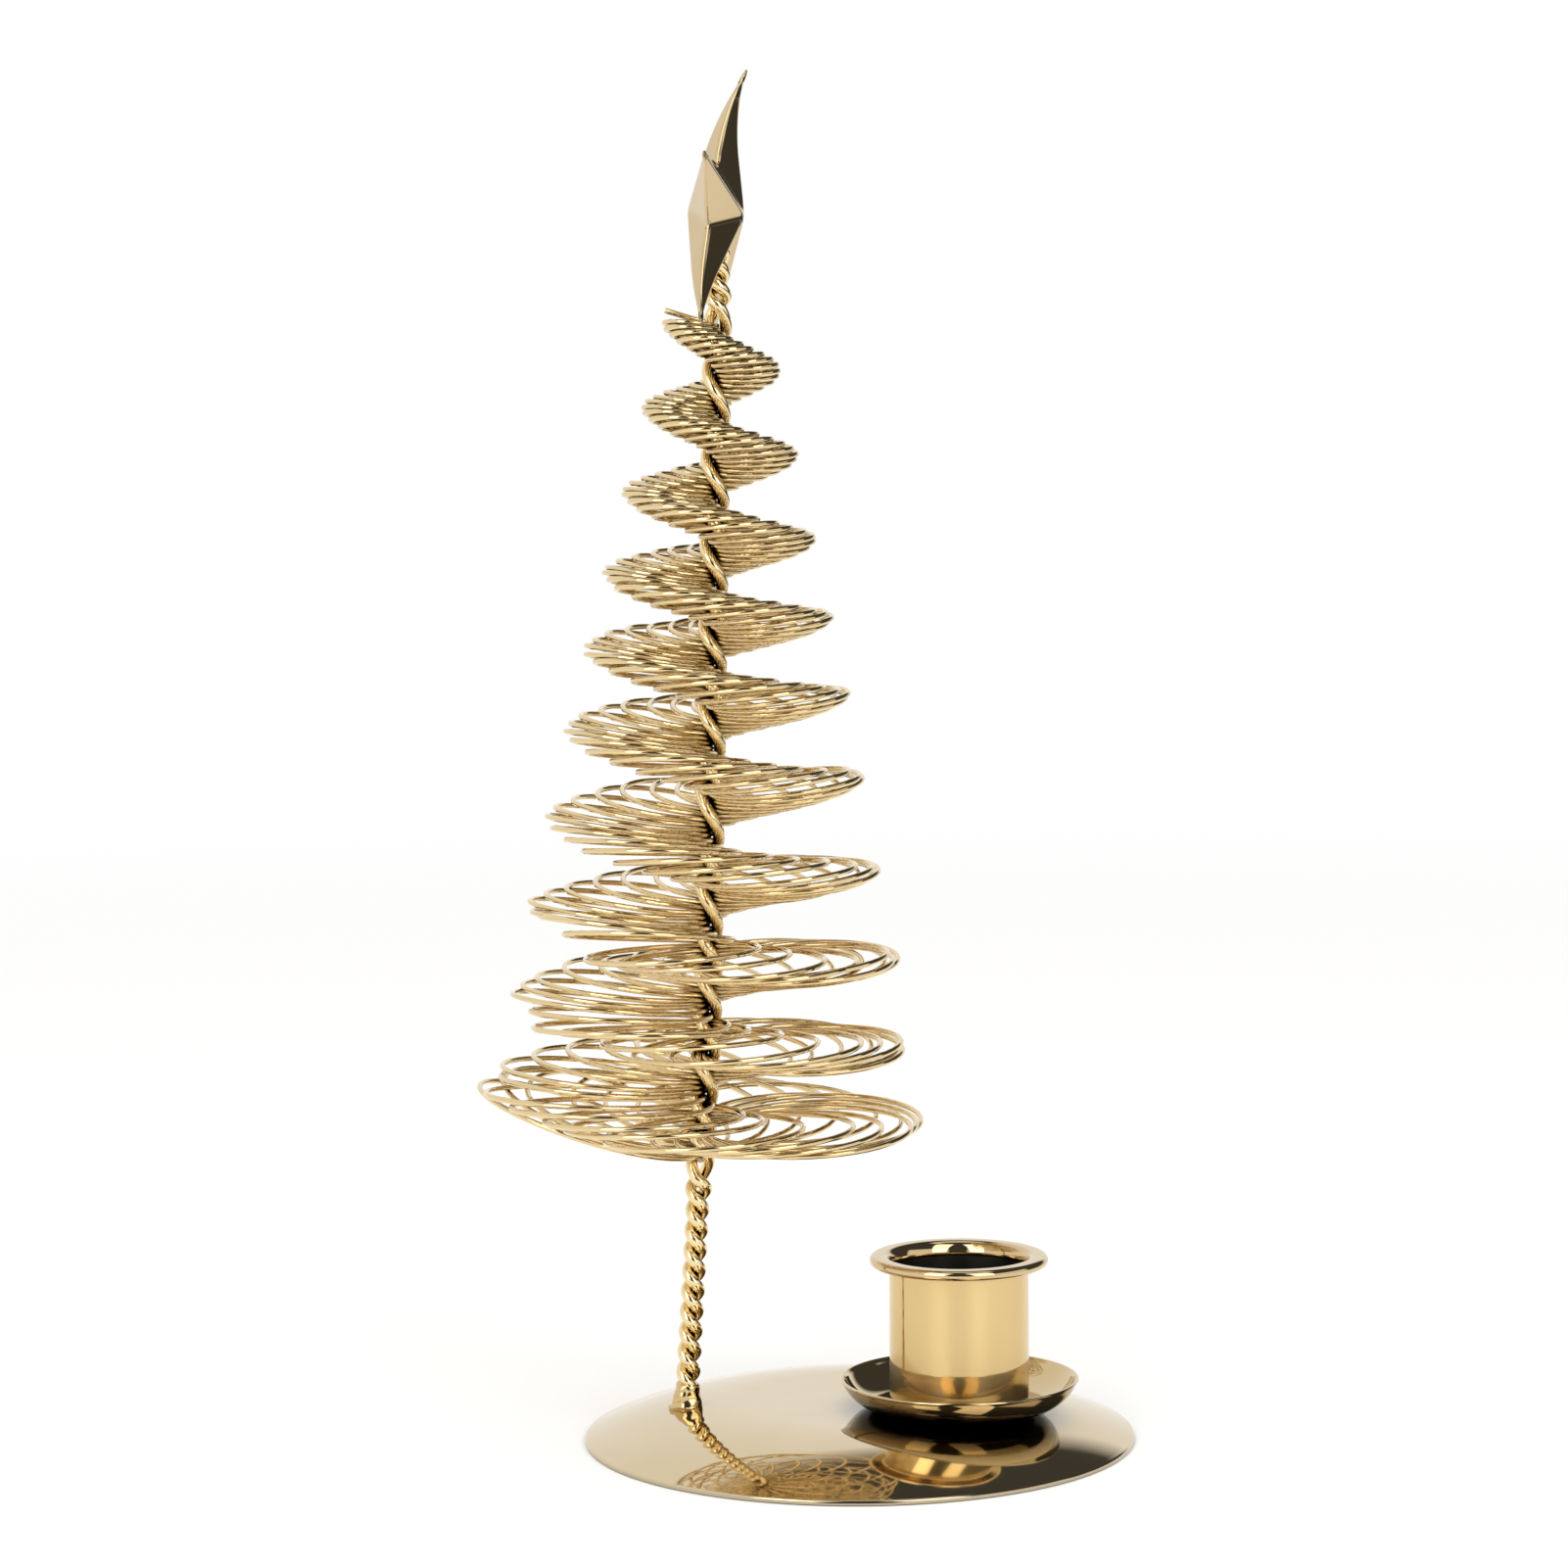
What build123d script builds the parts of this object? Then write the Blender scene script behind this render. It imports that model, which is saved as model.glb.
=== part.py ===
import os
from math import cos, pi, radians, sin, sqrt, tan

import numpy as np
from build123d import *

# A table candle holder: a wire tree with a star stands on a domed disc, beside a candle cup in a dish.
# All sizes are in millimetres. The origin is the centre of the base on the table, +Z is up,
# +X runs from the tree to the cup and -Y faces the viewer.

# Base: one pressed disc, flat in the middle, with a long rounded shoulder
base_radius = 46.5
base_rise = 6.5
base_flat_radius = 10.0
base_sheet = 0.8
base_land = 1.2

# Candle cup: a drawn tube with a floor and a rolled lip, for a standard 22 mm candle
candle_diameter = 22.0
candle_clearance = 0.2
cup_sheet = 0.5
cup_corner = 1.3
cup_height = 25.4
cup_x = 16.8
cup_y = -6.5
lip_reach = 3.3
lip_thickness = 1.7
mouth_round = 0.9

# Drip dish: a thin spun saucer under the cup
dish_radius = 20.0
dish_height = 5.2
dish_sheet = 0.6
dish_floor_margin = 0.9

# Rivet that holds cup, dish and base together, closed over a washer under the base
rivet_radius = 1.6
rivet_clearance = 0.05
rivet_head_radius = 3.2
rivet_head_height = 1.1
washer_radius = 4.0
washer_thickness = 0.6

# Trunk: two core wires twisted together, leaning towards the cup and straighter in the tree
trunk_foot_x = -29.3
trunk_y = -2.0
trunk_end_depth = 4.7
foot_lean = 3.8
tree_lean = 1.4
lean_change_rise = 14.7
lean_change_length = 15.0
core_wire = 2.05
core_gap = 0.1
core_spread_length = 5.0
core_spans_per_turn = 6
stem_pitch = 6.9
open_loop_count = 2

# Spiral: one long wire, whose loops fan round the trunk and widen from the star down
loop_wire = 0.8
loop_count = 100
loops_per_turn = 10
spans_per_loop_count = 3
turn_pitch = 14.1
spiral_bottom = 47.3
spiral_start_angle = 180.0
spiral_reach_top = 9.4
spiral_reach_bottom = 38.2
spiral_reach_bulge = 0.7
free_end_share = 0.16
loop_core_gap = 0.1

# How the loops stand, as rise over run: outwards, sideways, to the right and to the back
# Rows of the first table are a share of the way down the tree and the rise outwards there
outward_rise_shares = [
    (0.0, 0.077), (0.1, 0.077), (0.45, 0.122), (0.55, 0.12), (0.69, 0.085), (0.71, 0.14),
    (0.73, 0.035), (0.76, 0.07), (0.9, 0.06), (0.95, 0.052), (1.0, 0.22),
]
sideways_rise_share = 0.057
right_rise_share = -0.032
back_rise_share = 0.033

# How far the loops sit above an even climb: a share of the way down the tree and a share of the turn pitch
seat_shares = [
    (0.0, 0.0), (0.1, -0.085), (0.26, -0.106), (0.48, -0.014), (0.74, -0.149), (0.92, -0.156), (1.0, 0.0),
]

# Star: two hollow faceted shells, edge to edge, whose flat faces look left and right
star_point_count = 5
star_tip_radius = 24.0
star_notch_radius = 9.2
star_half_thickness = 4.9
star_sheet = 0.6
star_seam_width = 1.2
star_tip_fill = 3.0
star_rise = 17.9
star_side_shift = -0.5
star_roll = 5.0
star_yaw = -6.0
star_spin = -3.0

# Solder: a collar at the foot of the trunk and a cap over its end inside the star
solder_clearance = 0.03
foot_solder_wall = 1.1
foot_solder_top_wall = 0.5
foot_solder_height = 6.0
star_solder_wall = 0.6
star_solder_depth = 2.0

# One overrun serves every cut
overrun = 1.0

# Sizes and places that follow from those above
cup_bore = candle_diameter / 2 + candle_clearance
cup_outer = cup_bore + cup_sheet
lip_radius = cup_outer + lip_reach
dish_flat = cup_outer + dish_floor_margin
cup_offset = sqrt(cup_x**2 + cup_y**2)
trunk_offset = sqrt(trunk_foot_x**2 + trunk_y**2)
loop_step = turn_pitch / loops_per_turn
stem_step = stem_pitch / loops_per_turn
spiral_top = spiral_bottom + loop_step * loop_count
star_height = spiral_top + star_rise
trunk_top = star_height - trunk_end_depth
lean_change_start = spiral_bottom + lean_change_rise

# Distance of the core wires' middles from the trunk's axis, closed up and with loops between them
core_closed = (core_wire + core_gap) / 2
core_spread = (core_wire + loop_wire) / 2 + loop_core_gap
trunk_radius = core_closed + core_wire / 2


def base_height(radius):
    # Height of the base's upper face: a flat crown, then one arc tangent to it
    reach = base_radius - base_flat_radius
    drop = base_rise - base_sheet
    arc_radius = (reach**2 + drop**2) / (2 * drop)
    past_flat = max(radius - base_flat_radius, 0)
    return base_rise - arc_radius + sqrt(arc_radius**2 - past_flat**2)


trunk_foot = base_height(trunk_offset)
dish_bottom = base_height(max(cup_offset - dish_flat, 0))
cup_bottom = dish_bottom + dish_sheet
washer_top = base_height(cup_offset + washer_radius) - base_sheet - rivet_clearance


def turned(outline):
    # A closed outline in radius and height, turned round the Z axis
    return revolve(Plane.XZ * make_face(outline), Axis.Z)


def dome():
    crown = Line((0, base_rise), (base_flat_radius, base_rise))
    shoulder = TangentArc(crown @ 1, (base_radius, base_sheet), tangent=crown % 1)
    rest = Polyline(shoulder @ 1, (base_radius, 0), (0, 0), crown @ 0)
    return turned(crown + shoulder + rest)


def base_plate():
    inside = Cylinder(base_radius - base_land, base_rise, align=(Align.CENTER, Align.CENTER, Align.MIN))
    hollow = (Pos(0, 0, -base_sheet) * dome()) & inside
    rivet_hole = Pos(cup_x, cup_y) * Cylinder(rivet_radius + rivet_clearance, 2 * (base_rise + overrun))
    return dome() - hollow - rivet_hole


def rivet_hole_through(bottom, thickness):
    through = thickness + 2 * overrun
    return Pos(0, 0, bottom + thickness / 2) * Cylinder(rivet_radius + rivet_clearance, through)


def drip_dish():
    under = Line((0, 0), (dish_flat, 0))
    outer = TangentArc(under @ 1, (dish_radius, dish_height), tangent=under % 1)
    floor = Line((0, dish_sheet), (dish_flat, dish_sheet))
    inner = TangentArc(floor @ 1, (dish_radius - dish_sheet, dish_height), tangent=floor % 1)
    rim = Line(outer @ 1, inner @ 1)
    middle = Line(under @ 0, floor @ 0)
    saucer = turned(under + outer + rim + inner + floor + middle)
    return Pos(cup_x, cup_y, dish_bottom) * (saucer - rivet_hole_through(0, dish_sheet))


def candle_cup():
    corner_centre = cup_bore - cup_corner
    lip_centre = lip_radius - lip_thickness / 2
    lip_bottom = cup_height - lip_thickness
    wall_start = cup_sheet + cup_corner
    under = Line((0, 0), (corner_centre, 0))
    outer_corner = TangentArc(under @ 1, (cup_outer, wall_start), tangent=under % 1)
    outer_wall = Polyline(outer_corner @ 1, (cup_outer, lip_bottom), (lip_centre, lip_bottom))
    roll = ThreePointArc(
        (lip_centre, lip_bottom), (lip_radius, cup_height - lip_thickness / 2), (lip_centre, cup_height)
    )
    top = Line(roll @ 1, (cup_bore + mouth_round, cup_height))
    mouth = TangentArc(top @ 1, (cup_bore, cup_height - mouth_round), tangent=top % 1)
    inner_wall = Line(mouth @ 1, (cup_bore, wall_start))
    inner_corner = TangentArc(inner_wall @ 1, (corner_centre, cup_sheet), tangent=inner_wall % 1)
    floor = Polyline(inner_corner @ 1, (0, cup_sheet), (0, 0))
    outline = under + outer_corner + outer_wall + roll + top + mouth + inner_wall + inner_corner + floor
    return Pos(cup_x, cup_y, cup_bottom) * (turned(outline) - rivet_hole_through(0, cup_sheet))


def cup_rivet():
    head_bottom = cup_bottom + cup_sheet + rivet_clearance
    tail_top = washer_top - washer_thickness - rivet_clearance
    crown = TangentArc((0, head_bottom + rivet_head_height), (rivet_head_radius, head_bottom), tangent=(1, 0))
    shank = Polyline(
        crown @ 1, (rivet_radius, head_bottom), (rivet_radius, tail_top), (rivet_head_radius, tail_top)
    )
    tail = TangentArc((0, tail_top - rivet_head_height), shank @ 1, tangent=(1, 0))
    middle = Line(tail @ 0, crown @ 0)
    return Pos(cup_x, cup_y) * turned(crown + shank + tail + middle)


def rivet_washer():
    disc = Cylinder(washer_radius, washer_thickness, align=(Align.CENTER, Align.CENTER, Align.MAX))
    hole = Cylinder(rivet_radius + rivet_clearance, 2 * (washer_thickness + overrun))
    return Pos(cup_x, cup_y, washer_top) * (disc - hole)


def trunk_x(z):
    # The trunk leans by foot_lean, then by tree_lean, with a soft change between
    into_change = min(max(z - lean_change_start, 0), lean_change_length)
    past_change = max(z - lean_change_start - lean_change_length, 0)
    eased = into_change**2 / (2 * lean_change_length) + past_change
    foot_slope = tan(radians(foot_lean))
    tree_slope = tan(radians(tree_lean))
    return trunk_foot_x + foot_slope * (z - trunk_foot) + (tree_slope - foot_slope) * eased


def between_rows(rows, place):
    # Value at this place in a table of places and values
    places, values = zip(*rows)
    return float(np.interp(place, places, values))


def in_open_twist(s):
    # The open twist runs on past the first and last loop, by open_loop_count loops
    return min(max(s, -open_loop_count), loop_count + open_loop_count)


def seat_height(s):
    # Height on the trunk after s loops from the top; past the open twist the wires are twisted more tightly
    inside = in_open_twist(s)
    even = spiral_top - loop_step * inside - stem_step * (s - inside)
    return even + turn_pitch * between_rows(seat_shares, inside / loop_count)


def turn_angle(s):
    # Direction in which loop number s points, in radians
    return radians(spiral_start_angle) + 2 * pi * s / loops_per_turn


def biarc(start, start_way, end, end_way):
    # Two arcs that leave start along start_way and reach end along end_way
    chord = end - start
    along = chord.dot(start_way + end_way)
    bend = 2 * (1 - start_way.dot(end_way))
    leg = (sqrt(along**2 + bend * chord.dot(chord)) - along) / bend
    first_corner = start + start_way * leg
    last_corner = end - end_way * leg
    joint = (first_corner + last_corner) / 2
    return [
        Edge.make_tangent_arc(start, start_way, joint),
        Edge.make_tangent_arc(joint, last_corner - first_corner, end),
    ]


def wire_path(place, first, last, spans):
    # Biarcs along place(t), the curve's point at t, from t = first to t = last
    step = (last - first) / spans
    nudge = step / 1000
    knots = []
    for index in range(spans + 1):
        t = first + step * index
        way = (place(t + nudge) - place(t - nudge)).normalized()
        knots.append((place(t), way))
    edges = []
    for (start, start_way), (end, end_way) in zip(knots, knots[1:]):
        edges += biarc(start, start_way, end, end_way)
    return Wire(edges)


def round_wire(path, diameter):
    section = Plane(origin=path @ 0, z_dir=path % 0) * Circle(diameter / 2)
    return sweep(section, path=path)


def core_place(s, out_sign):
    # One wire on each side of the loops' crossings; they close up where there are no loops
    z = seat_height(s)
    outside = abs(s - in_open_twist(s)) * stem_step
    spread_share = max(1 - outside / core_spread_length, 0)
    spread_share = spread_share**2 * (3 - 2 * spread_share)
    out = out_sign * (core_closed + (core_spread - core_closed) * spread_share)
    turn = turn_angle(s)
    return Vector(trunk_x(z) + out * cos(turn), trunk_y + out * sin(turn), z)


def core_path(out_sign):
    open_length = open_loop_count * loop_step
    start = loop_count + open_loop_count + (spiral_bottom - open_length - trunk_foot + core_wire) / stem_step
    end = (spiral_top + open_length - trunk_top) / stem_step - open_loop_count
    spans = round((start - end) / loops_per_turn * core_spans_per_turn)
    return wire_path(lambda s: core_place(s, out_sign), start, end, spans)


def spiral_place(s):
    # Loop number s: each loop is a circle through the trunk's axis, pointing outwards
    z = seat_height(s)
    turn = turn_angle(s)
    phase = 2 * pi * s
    way_down = s / loop_count
    reach = spiral_reach_top + (spiral_reach_bottom - spiral_reach_top) * way_down
    reach += spiral_reach_bulge * sin(pi * way_down)
    ring = (reach - loop_wire / 2) / 2
    out = ring * (1 - cos(phase))
    side = ring * sin(phase)
    along_x = out * cos(turn) - side * sin(turn)
    along_y = out * sin(turn) + side * cos(turn)
    lift = out * between_rows(outward_rise_shares, way_down) + side * sideways_rise_share
    lift += along_x * right_rise_share + along_y * back_rise_share
    return Vector(trunk_x(z) + along_x, trunk_y + along_y, z + lift)


def spiral_path():
    return wire_path(spiral_place, -free_end_share, loop_count, loop_count * spans_per_loop_count)


def least_gap(path, diameter):
    # Least free space between stretches of the wire that are more than half a loop apart
    per_edge = 8
    points = np.array([tuple(edge @ (i / per_edge)) for edge in path.edges() for i in range(per_edge)])
    skip = spans_per_loop_count * per_edge
    nearest = min(
        np.linalg.norm(points[i + skip:] - points[i], axis=1).min() for i in range(len(points) - skip)
    )
    return nearest - diameter


def star_half(tip_radius, notch_radius, apex):
    # One half of the star as a closed pyramid on its outline, pointing along +Z
    outline = []
    for index in range(star_point_count):
        turn = pi / 2 + 2 * pi * index / star_point_count
        half_turn = turn + pi / star_point_count
        outline.append((tip_radius * cos(turn), tip_radius * sin(turn), 0))
        outline.append((notch_radius * cos(half_turn), notch_radius * sin(half_turn), 0))
    faces = [Face(Wire.make_polygon(outline))]
    for corner, following in zip(outline, outline[1:] + outline[:1]):
        faces.append(Face(Wire.make_polygon([corner, following, (0, 0, apex)])))
    return Solid(Shell(faces))


def star_frame(side):
    # Stands a half up, with its peak to the left (side -1) or right (side +1)
    upright = Plane(origin=(0, 0, 0), x_dir=(0, side, 0), z_dir=(side, 0, 0)).location
    centre = Pos(trunk_x(star_height) + star_side_shift, trunk_y, star_height)
    return centre * Rot(0, 0, star_yaw) * Rot(0, star_roll, 0) * Rot(star_spin, 0, 0) * upright


def trunk_end(radius, bottom, height):
    # A rod round the trunk's axis near its top
    lean = Rot(0, tree_lean, 0)
    rod = Cylinder(radius, height, align=(Align.CENTER, Align.CENTER, Align.MIN))
    return Pos(trunk_x(bottom), trunk_y, bottom) * lean * rod


def trunk_notch():
    # Room for the trunk's end, whose slanted wires end a little above trunk_top
    bottom = star_height - star_tip_radius
    return trunk_end(trunk_radius + solder_clearance, bottom, trunk_top + core_wire / 2 - bottom)


def star_hollow(side):
    tip = star_tip_radius - star_tip_fill
    notch = star_notch_radius - star_seam_width
    return star_frame(side) * star_half(tip, notch, star_half_thickness - star_sheet)


def star_shell(side):
    half = star_half(star_tip_radius, star_notch_radius, star_half_thickness)
    return star_frame(side) * half - star_hollow(side) - trunk_notch()


def star_solder():
    # A cap over the trunk's end that fills the space between the two shells
    bottom = trunk_top - star_solder_depth
    height = star_solder_depth + core_wire / 2 + star_solder_wall
    cap = trunk_end(trunk_radius + star_solder_wall, bottom, height)
    return cap & (star_hollow(-1) + star_hollow(1)) - trunk_notch()


def foot_solder():
    bottom_radius = trunk_radius + foot_solder_wall
    top_radius = trunk_radius + foot_solder_top_wall
    upwards = (Align.CENTER, Align.CENTER, Align.MIN)
    collar = Cone(bottom_radius, top_radius, foot_solder_height + overrun, align=upwards)
    bore = Cylinder(trunk_radius + solder_clearance, 2 * (foot_solder_height + overrun))
    lean = Rot(0, foot_lean, 0)
    return Pos(trunk_foot_x, trunk_y, trunk_foot) * lean * (Pos(0, 0, -overrun) * collar - bore) - dome()


os.makedirs("parts", exist_ok=True)

nodes = {
    "base_plate": base_plate(),
    "drip_dish": drip_dish(),
    "candle_cup": candle_cup(),
    "cup_rivet": cup_rivet(),
    "rivet_washer": rivet_washer(),
}

for number, out_sign in enumerate((1, -1), start=1):
    nodes[f"core_wire_{number}"] = round_wire(core_path(out_sign), core_wire) - dome()

loop_path = spiral_path()
nodes["spiral_wire"] = round_wire(loop_path, loop_wire)
print("least gap between the spiral's loops, mm:", round(least_gap(loop_path, loop_wire), 3))

nodes["star_left_shell"] = star_shell(-1)
nodes["star_right_shell"] = star_shell(1)
nodes["star_solder"] = star_solder()
nodes["foot_solder"] = foot_solder()

for name, solid in nodes.items():
    export_step(solid, f"parts/{name}.step")
    print(name, round(solid.volume, 1))
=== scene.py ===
import math
import random

import bpy
from mathutils import Matrix, Vector


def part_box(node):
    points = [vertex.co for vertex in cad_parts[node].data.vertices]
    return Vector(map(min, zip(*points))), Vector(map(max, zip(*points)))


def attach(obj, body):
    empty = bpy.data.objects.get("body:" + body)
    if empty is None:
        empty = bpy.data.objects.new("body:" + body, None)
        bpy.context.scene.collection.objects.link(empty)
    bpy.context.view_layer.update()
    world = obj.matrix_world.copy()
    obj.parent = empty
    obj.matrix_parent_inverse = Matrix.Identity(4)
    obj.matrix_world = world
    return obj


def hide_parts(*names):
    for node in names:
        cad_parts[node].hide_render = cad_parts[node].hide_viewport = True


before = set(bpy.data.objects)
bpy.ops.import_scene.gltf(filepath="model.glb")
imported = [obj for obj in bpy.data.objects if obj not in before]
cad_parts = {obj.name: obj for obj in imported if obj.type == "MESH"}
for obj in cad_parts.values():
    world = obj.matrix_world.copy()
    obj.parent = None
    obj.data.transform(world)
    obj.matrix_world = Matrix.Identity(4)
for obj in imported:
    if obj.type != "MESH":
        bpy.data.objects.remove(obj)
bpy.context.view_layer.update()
mm = 0.001
print("frame loaded:", len(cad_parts), "nodes")


# Small helpers

def clearSelection():
    if bpy.context.object and bpy.context.object.mode != "OBJECT":
        bpy.ops.object.mode_set(mode="OBJECT")
    bpy.ops.object.select_all(action="DESELECT")


def selectVertices(piece, wanted):
    # leaves the piece in edit mode with only the wanted vertices picked
    bpy.ops.object.mode_set(mode="EDIT")
    bpy.ops.mesh.select_mode(type="VERT")
    bpy.ops.mesh.select_all(action="DESELECT")
    bpy.ops.object.mode_set(mode="OBJECT")
    for vertex in piece.data.vertices:
        vertex.select = wanted(vertex.co)
    bpy.ops.object.mode_set(mode="EDIT")


def closeAndTurnOut():
    bpy.ops.mesh.select_all(action="SELECT")
    bpy.ops.mesh.remove_doubles(threshold=0.001 * mm)
    bpy.ops.mesh.normals_make_consistent(inside=False)
    bpy.ops.object.mode_set(mode="OBJECT")


def applyModifier(piece, kind, **settings):
    modifier = piece.modifiers.new(kind.lower(), kind)
    for key, value in settings.items():
        setattr(modifier, key, value)
    bpy.ops.object.modifier_apply(modifier=modifier.name)


def arcPoints(centre, radius, fromDegrees, toDegrees, count):
    # points of a round stretch in radius and height
    points = []
    for index in range(count + 1):
        angle = math.radians(fromDegrees + (toDegrees - fromDegrees) * index / count)
        points.append((centre[0] + radius * math.cos(angle), centre[1] + radius * math.sin(angle)))
    return points


def turnOutline(name, outline, axisPlace, steps):
    # one vertex is pushed along the outline, and the line is spun round the upright axis
    clearSelection()
    place = Vector(axisPlace)
    start = place + Vector((outline[0][0], 0, outline[0][1]))
    bpy.ops.mesh.primitive_plane_add(size=mm, location=start)
    piece = bpy.context.object
    piece.name = name
    bpy.ops.object.transform_apply(location=True, rotation=True, scale=True)
    bpy.ops.object.mode_set(mode="EDIT")
    bpy.ops.mesh.select_all(action="SELECT")
    bpy.ops.mesh.merge(type="CENTER")
    for here, there in zip(outline, outline[1:]):
        push = (there[0] - here[0], 0, there[1] - here[1])
        bpy.ops.mesh.extrude_region_move(TRANSFORM_OT_translate={"value": push})
    bpy.ops.mesh.select_all(action="SELECT")
    bpy.ops.mesh.spin(steps=steps, angle=2 * math.pi, center=place, axis=(0, 0, 1))
    closeAndTurnOut()
    return piece


def bendWire(name, points, diameter, roundness):
    # a round wire along a line of points
    clearSelection()
    bpy.ops.curve.primitive_nurbs_path_add()
    wire = bpy.context.object
    wire.name = name
    wire.data.splines.clear()
    line = wire.data.splines.new("POLY")
    line.points.add(len(points) - 1)
    for knot, point in zip(line.points, points):
        knot.co = (*point, 1)
    wire.data.bevel_depth = diameter / 2
    wire.data.bevel_resolution = roundness
    wire.data.use_fill_caps = True
    bpy.ops.object.convert(target="MESH")
    return bpy.context.object


def finishPiece(piece, material, node, smoothAngle=40):
    clearSelection()
    piece.select_set(True)
    bpy.context.view_layer.objects.active = piece
    bpy.ops.object.shade_smooth_by_angle(angle=math.radians(smoothAngle))
    piece.data.name = piece.name
    if not piece.data.materials:
        piece.data.materials.append(material)
    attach(piece, "root")
    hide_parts(node)
    print("made", piece.name, "faces:", len(piece.data.polygons))


# Materials

def colour(hexCode):
    channels = [int(hexCode[i:i + 2], 16) / 255 for i in (1, 3, 5)]
    linear = [c / 12.92 if c <= 0.04045 else ((c + 0.055) / 1.055) ** 2.4 for c in channels]
    return (*linear, 1)


def addNode(tree, kind, settings=(), links=()):
    # settings and links name an input socket, by name or number, or else a property of the node
    node = tree.nodes.new(kind)
    for key, value in dict(settings).items():
        if isinstance(key, int) or key in node.inputs:
            node.inputs[key].default_value = value
        else:
            setattr(node, key, value)
    for key, source in dict(links).items():
        tree.links.new(source, node.inputs[key])
    return node


def newMaterial(name):
    material = bpy.data.materials.new(name)
    material.use_nodes = True
    material.node_tree.nodes.clear()
    return material, material.node_tree


plating = {"patchDetail": 4.0, "hazeFrom": 0.3, "hazeTo": 0.75, "waveDetail": 1.0, "recessSamples": 6}


def platedMetal(name, finish):
    # bright plating with haze patches and slow waves; painted shade darkens its colour in recesses, by
    # ambient occlusion, towards the recess shade colour
    material, tree = newMaterial(name)
    coords = addNode(tree, "ShaderNodeTexCoord").outputs["Object"]
    patches = addNode(tree, "ShaderNodeTexNoise",
                      {"Scale": 1 / (finish["patchSize"] * mm), "Detail": plating["patchDetail"]},
                      {"Vector": coords})
    tint = addNode(tree, "ShaderNodeMix",
                   {"data_type": "RGBA", 6: colour(finish["colour"]), 7: colour(finish["worn"])},
                   {0: patches.outputs["Fac"]})
    # painted shade: ambient occlusion blends the recess shade colour into the colour where other surfaces
    # are close
    openness = addNode(tree, "ShaderNodeAmbientOcclusion",
                       {"samples": plating["recessSamples"], "Distance": finish["recessReach"] * mm})
    unshaded = addNode(tree, "ShaderNodeMapRange",
                     {"From Min": finish["recessDark"], "From Max": finish["recessLight"]},
                     {"Value": openness.outputs["AO"]})
    tint = addNode(tree, "ShaderNodeMix", {"data_type": "RGBA", 6: colour(finish["recessShade"])},
                   {0: unshaded.outputs["Result"], 7: tint.outputs[2]})
    rough = addNode(tree, "ShaderNodeMapRange",
                    {"From Min": plating["hazeFrom"], "From Max": plating["hazeTo"],
                     "To Min": finish["smooth"], "To Max": finish["hazy"]},
                    {"Value": patches.outputs["Fac"]})
    waves = addNode(tree, "ShaderNodeTexNoise",
                    {"Scale": 1 / (finish["waveSize"] * mm), "Detail": plating["waveDetail"]},
                    {"Vector": coords})
    bump = addNode(tree, "ShaderNodeBump",
                   {"Strength": 1.0, "Distance": finish["waveDepth"] * mm},
                   {"Height": waves.outputs["Fac"]})
    mirror = addNode(tree, "ShaderNodeBsdfPrincipled", {"Metallic": 1.0},
                     {"Base Color": tint.outputs[2], "Roughness": rough.outputs["Result"],
                      "Normal": bump.outputs["Normal"]})
    surface = mirror.outputs["BSDF"]
    if "turned" in finish:
        # fine lathe marks, which draw lights out along the axis
        around = addNode(tree, "ShaderNodeTangent", {"direction_type": "RADIAL", "axis": "Z"})
        marks = addNode(tree, "ShaderNodeBsdfPrincipled",
                        {"Metallic": 1.0, "Roughness": finish["markRough"],
                         "Anisotropic": finish["markDraw"], "Anisotropic Rotation": finish["markTurn"]},
                        {"Base Color": tint.outputs[2], "Tangent": around.outputs["Tangent"]})
        mixed = addNode(tree, "ShaderNodeMixShader", {0: finish["turned"]},
                        {1: surface, 2: marks.outputs["BSDF"]})
        surface = mixed.outputs["Shader"]
    addNode(tree, "ShaderNodeOutputMaterial", (), {"Surface": surface})
    return material


# pressed and spun steel sheet with polished pale gold plating: a mirror with slow waves, and painted shade
# in its recesses
platedSheet = platedMetal("platedGoldSheet", {
    "colour": "#D4BE94", "worn": "#CBB388", "patchSize": 14, "smooth": 0.03, "hazy": 0.09,
    "waveSize": 13, "waveDepth": 0.03,
    "recessShade": "#8C8473", "recessReach": 6, "recessDark": 0.15, "recessLight": 0.55})

# the same sheet where it looks down on the base, with a darker and wider painted shade: a shaded copy of the
# sheet
shadedUnderSheet = platedMetal("goldSheetPaintedShade", {
    "colour": "#D4BE94", "worn": "#CBB388", "patchSize": 14, "smooth": 0.04, "hazy": 0.11,
    "waveSize": 13, "waveDepth": 0.03,
    "recessShade": "#4A473F", "recessReach": 14, "recessDark": 0.20, "recessLight": 0.80})

# the base's sheet: the same mirror, greyed softly round the dish by painted shade
platedBase = platedMetal("platedGoldBase", {
    "colour": "#D9C7A4", "worn": "#D0BC97", "patchSize": 14, "smooth": 0.03, "hazy": 0.09,
    "waveSize": 13, "waveDepth": 0.04,
    "recessShade": "#6C6B6E", "recessReach": 12, "recessDark": 0.15, "recessLight": 0.75})

# the cup's wall, polished on the lathe: fine marks round it draw the lights out into upright bands; painted
# shade in its recesses
turnedSheet = platedMetal("turnedGoldSheet", {
    "colour": "#E2C993", "worn": "#D9BD84", "patchSize": 14, "smooth": 0.03, "hazy": 0.09,
    "waveSize": 13, "waveDepth": 0.02,
    "turned": 0.38, "markRough": 0.36, "markDraw": 0.85, "markTurn": 0.25,
    "recessShade": "#8C8473", "recessReach": 6, "recessDark": 0.15, "recessLight": 0.55})
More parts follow.
